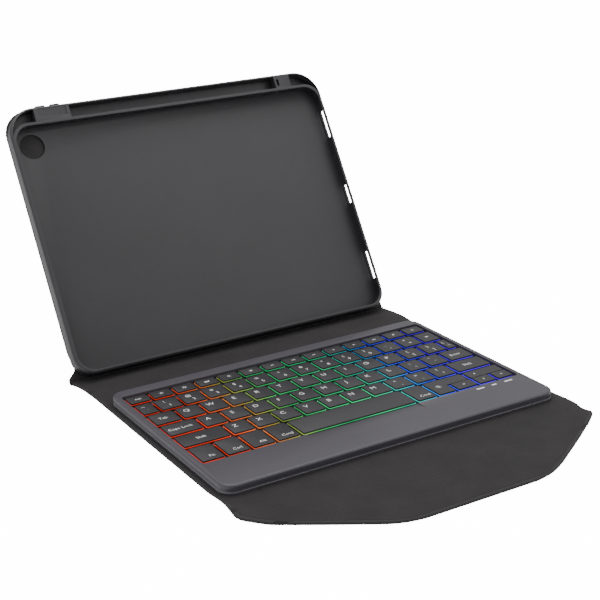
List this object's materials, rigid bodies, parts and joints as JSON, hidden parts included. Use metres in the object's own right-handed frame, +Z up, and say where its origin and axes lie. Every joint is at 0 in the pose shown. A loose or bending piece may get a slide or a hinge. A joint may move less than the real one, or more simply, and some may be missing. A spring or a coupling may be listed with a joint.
{
  "type": "tablet keyboard case",
  "caption": "Folding tablet case with a backlit keyboard on its base, a standing shell with a stylus trough, and a front closing flap.",
  "frame": {"origin": "centre of the base panel's underside, on the table", "axes": "+X to the user's right, +Y from the user to the spine, +Z up from the table"},
  "size_m": [0.254, 0.3872, 0.1726],
  "materials": {
    "folio_leather": "charcoal synthetic leather, fine grain",
    "folio_lining": "charcoal microfibre lining, short nap",
    "stiff_board": "grey fibre board",
    "shell_plastic": "slate grey soft-touch moulding",
    "shell_back_plastic": "dark grey sheet moulding",
    "keyboard_housing": "slate grey painted moulding",
    "keycap": "dark grey key cap",
    "steel": "bright sheet steel",
    "magnet": "plated magnet",
    "rubber": "milky silicone sheet",
    "guide": "clear light guide film",
    "link_plastic": "off-white moulded links",
    "board_green": "circuit board",
    "battery_foil": "foil pouch cell",
    "lamp": "lamp package",
    "indicator": "translucent white window"
  },
  "bodies": {
    "base": {"base_leather": "folio_leather", "base_board": "stiff_board", "base_keeper_plates": "steel", "base_lining": "folio_lining", "rear_fold_leather": "folio_leather", "front_fold_leather": "folio_leather", "keyboard_top_case": "keyboard_housing", "keyboard_bottom_case": "keyboard_housing", "case_screws": "steel", "keyboard_magnets": "magnet", "battery": "battery_foil", "circuit_board": "board_green", "key_plate": "steel", "rubber_domes": "rubber", "light_guide": "guide", "backlight_leds": "lamp", "scissor_links": "link_plastic", "indicator_lenses": "indicator", "charging_port": "steel"},
    "spine": {"spine_leather": "folio_leather", "spine_board": "stiff_board", "spine_lining": "folio_lining", "cover_fold_leather": "folio_leather"},
    "cover": {"cover_leather": "folio_leather", "cover_board": "stiff_board", "cover_magnet_plate": "steel", "shell_back": "shell_back_plastic", "shell_bumper": "shell_plastic", "stylus_bay": "shell_plastic"},
    "strip": {"strip_leather": "folio_leather", "strip_board": "stiff_board", "strip_lining": "folio_lining", "tongue_fold_leather": "folio_leather"},
    "tongue": {"tongue_leather": "folio_leather", "tongue_board": "stiff_board", "tongue_magnets": "magnet", "tongue_lining": "folio_lining"},
    "volume_up": {"volume_up_button": "shell_plastic"},
    "volume_down": {"volume_down_button": "shell_plastic"},
    "power_switch": {"power_switch": "keycap"},
    "function_keys": {"function_keys": "keycap"},
    "number_keys": {"number_keys": "keycap"},
    "upper_letter_keys": {"upper_letter_keys": "keycap"},
    "home_letter_keys": {"home_letter_keys": "keycap"},
    "lower_letter_keys": {"lower_letter_keys": "keycap"},
    "modifier_keys": {"modifier_keys": "keycap"},
    "backspace_key": {"backspace_key": "keycap"},
    "tab_key": {"tab_key": "keycap"},
    "backslash_key": {"backslash_key": "keycap"},
    "caps_key": {"caps_key": "keycap"},
    "enter_key": {"enter_key": "keycap"},
    "shift_left_key": {"shift_left_key": "keycap"},
    "shift_right_key": {"shift_right_key": "keycap"},
    "space_key": {"space_key": "keycap"},
    "backlight_key": {"backlight_key": "keycap"},
    "arrow_left_key": {"arrow_left_key": "keycap"},
    "arrow_up_key": {"arrow_up_key": "keycap"},
    "arrow_down_key": {"arrow_down_key": "keycap"},
    "arrow_right_key": {"arrow_right_key": "keycap"}
  },
  "joints": [
    {"name": "spine_fold", "type": "hinge", "parent": "base", "child": "spine", "pos_m": [0, 0.099, 0.001], "axis": [1, 0, 0], "range_deg": [0, 90], "deforming": ["rear_fold_leather"]},
    {"name": "cover_fold", "type": "hinge", "parent": "spine", "child": "cover", "pos_m": [0, 0.121, 0.001], "axis": [1, 0, 0], "range_deg": [-58.6, 31.4], "deforming": ["cover_fold_leather"]},
    {"name": "strip_fold", "type": "hinge", "parent": "base", "child": "strip", "pos_m": [0, -0.099, 0.001], "axis": [-1, 0, 0], "range_deg": [0, 90], "deforming": ["front_fold_leather"]},
    {"name": "tongue_fold", "type": "hinge", "parent": "strip", "child": "tongue", "pos_m": [0, -0.125, 0.001], "axis": [-1, 0, 0], "range_deg": [0, 90], "deforming": ["tongue_fold_leather"]},
    {"name": "function_keys_press", "type": "slide", "parent": "base", "child": "function_keys", "axis": [0, 0, -1], "range_m": [0, 0.0012], "stiffness_N_per_m": 3000, "deforming": ["rubber_domes", "scissor_links"]},
    {"name": "number_keys_press", "type": "slide", "parent": "base", "child": "number_keys", "axis": [0, 0, -1], "range_m": [0, 0.0012], "stiffness_N_per_m": 3000, "deforming": ["rubber_domes", "scissor_links"]},
    {"name": "upper_letter_keys_press", "type": "slide", "parent": "base", "child": "upper_letter_keys", "axis": [0, 0, -1], "range_m": [0, 0.0012], "stiffness_N_per_m": 3000, "deforming": ["rubber_domes", "scissor_links"]},
    {"name": "home_letter_keys_press", "type": "slide", "parent": "base", "child": "home_letter_keys", "axis": [0, 0, -1], "range_m": [0, 0.0012], "stiffness_N_per_m": 3000, "deforming": ["rubber_domes", "scissor_links"]},
    {"name": "lower_letter_keys_press", "type": "slide", "parent": "base", "child": "lower_letter_keys", "axis": [0, 0, -1], "range_m": [0, 0.0012], "stiffness_N_per_m": 3000, "deforming": ["rubber_domes", "scissor_links"]},
    {"name": "modifier_keys_press", "type": "slide", "parent": "base", "child": "modifier_keys", "axis": [0, 0, -1], "range_m": [0, 0.0012], "stiffness_N_per_m": 3000, "deforming": ["rubber_domes", "scissor_links"]},
    {"name": "backspace_key_press", "type": "slide", "parent": "base", "child": "backspace_key", "axis": [0, 0, -1], "range_m": [0, 0.0012], "stiffness_N_per_m": 500, "deforming": ["rubber_domes", "scissor_links"]},
    {"name": "tab_key_press", "type": "slide", "parent": "base", "child": "tab_key", "axis": [0, 0, -1], "range_m": [0, 0.0012], "stiffness_N_per_m": 500, "deforming": ["rubber_domes", "scissor_links"]},
    {"name": "backslash_key_press", "type": "slide", "parent": "base", "child": "backslash_key", "axis": [0, 0, -1], "range_m": [0, 0.0012], "stiffness_N_per_m": 500, "deforming": ["rubber_domes", "scissor_links"]},
    {"name": "caps_key_press", "type": "slide", "parent": "base", "child": "caps_key", "axis": [0, 0, -1], "range_m": [0, 0.0012], "stiffness_N_per_m": 500, "deforming": ["rubber_domes", "scissor_links"]},
    {"name": "enter_key_press", "type": "slide", "parent": "base", "child": "enter_key", "axis": [0, 0, -1], "range_m": [0, 0.0012], "stiffness_N_per_m": 500, "deforming": ["rubber_domes", "scissor_links"]},
    {"name": "shift_left_key_press", "type": "slide", "parent": "base", "child": "shift_left_key", "axis": [0, 0, -1], "range_m": [0, 0.0012], "stiffness_N_per_m": 500, "deforming": ["rubber_domes", "scissor_links"]},
    {"name": "shift_right_key_press", "type": "slide", "parent": "base", "child": "shift_right_key", "axis": [0, 0, -1], "range_m": [0, 0.0012], "stiffness_N_per_m": 500, "deforming": ["rubber_domes", "scissor_links"]},
    {"name": "space_key_press", "type": "slide", "parent": "base", "child": "space_key", "axis": [0, 0, -1], "range_m": [0, 0.0012], "stiffness_N_per_m": 500, "deforming": ["rubber_domes", "scissor_links"]},
    {"name": "backlight_key_press", "type": "slide", "parent": "base", "child": "backlight_key", "axis": [0, 0, -1], "range_m": [0, 0.0012], "stiffness_N_per_m": 500, "deforming": ["rubber_domes", "scissor_links"]},
    {"name": "arrow_left_key_press", "type": "slide", "parent": "base", "child": "arrow_left_key", "axis": [0, 0, -1], "range_m": [0, 0.0012], "stiffness_N_per_m": 500, "deforming": ["rubber_domes", "scissor_links"]},
    {"name": "arrow_up_key_press", "type": "slide", "parent": "base", "child": "arrow_up_key", "axis": [0, 0, -1], "range_m": [0, 0.0012], "stiffness_N_per_m": 500, "deforming": ["rubber_domes", "scissor_links"]},
    {"name": "arrow_down_key_press", "type": "slide", "parent": "base", "child": "arrow_down_key", "axis": [0, 0, -1], "range_m": [0, 0.0012], "stiffness_N_per_m": 500, "deforming": ["rubber_domes", "scissor_links"]},
    {"name": "arrow_right_key_press", "type": "slide", "parent": "base", "child": "arrow_right_key", "axis": [0, 0, -1], "range_m": [0, 0.0012], "stiffness_N_per_m": 500, "deforming": ["rubber_domes", "scissor_links"]},
    {"name": "volume_up_press", "type": "slide", "parent": "cover", "child": "volume_up", "axis": [0, -0.521, -0.8536], "range_m": [0, 0.0005], "stiffness_N_per_m": 1500},
    {"name": "volume_down_press", "type": "slide", "parent": "cover", "child": "volume_down", "axis": [0, -0.521, -0.8536], "range_m": [0, 0.0005], "stiffness_N_per_m": 1500},
    {"name": "power_switch_slide", "type": "slide", "parent": "base", "child": "power_switch", "axis": [0, 1, 0], "range_m": [0, 0.0024]}
  ]
}
